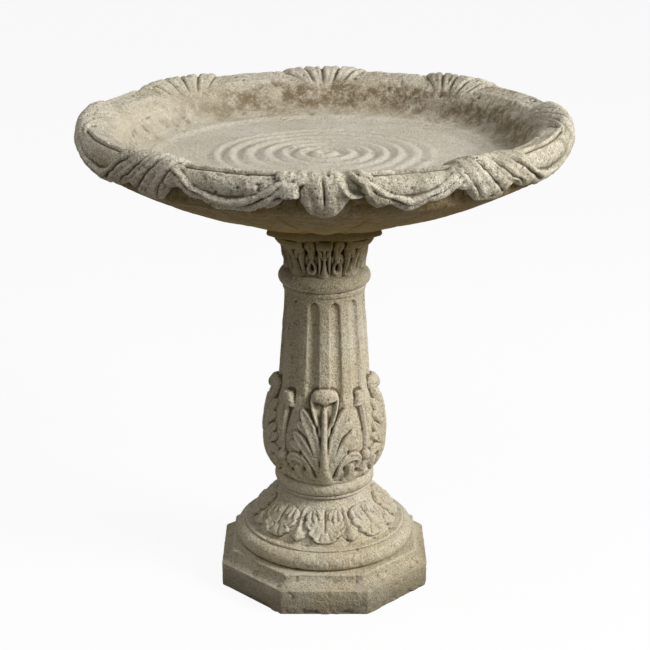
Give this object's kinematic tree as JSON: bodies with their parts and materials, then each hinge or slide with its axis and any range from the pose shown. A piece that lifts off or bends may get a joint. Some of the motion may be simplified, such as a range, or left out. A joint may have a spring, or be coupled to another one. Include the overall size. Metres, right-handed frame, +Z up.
{
  "type": "pedestal birdbath",
  "caption": "Cast-stone pedestal birdbath: octagonal plinth, leaf-carved fluted column and a shallow round bowl with a leaf-and-swag rim that turns and lifts off.",
  "frame": {"origin": "middle of the plinth's underside", "axes": "+Z up along the column, -Y towards the front face of the plinth"},
  "size_m": [0.672, 0.672, 0.697],
  "materials": {
    "cast_stone": "weathered, rough cast",
    "mortar": "rough",
    "steel": "mill finish",
    "pad": "matt"
  },
  "bodies": {
    "pedestal": {"plinth_base": "cast_stone", "column": "cast_stone", "mortar_bed": "mortar", "dowel_bar": "steel", "base_grout": "mortar", "column_grout": "mortar", "plinth_ring_bar": "steel", "column_bars": "steel", "column_hoops": "steel"},
    "seat": {"setting_pads": "pad"},
    "bowl": {"bowl": "cast_stone", "hub_ring_bar": "steel", "floor_ring_bar": "steel", "rim_ring_bar": "steel", "radial_bars": "steel"}
  },
  "joints": [
    {"name": "bowl_turn", "type": "hinge", "parent": "pedestal", "child": "seat", "pos_m": [0, 0, 0.541], "axis": [0, 0, 1], "continuous": true},
    {"name": "bowl_lift", "type": "slide", "parent": "seat", "child": "bowl", "axis": [0, 0, 1], "range_m": [0, 0.15]}
  ]
}
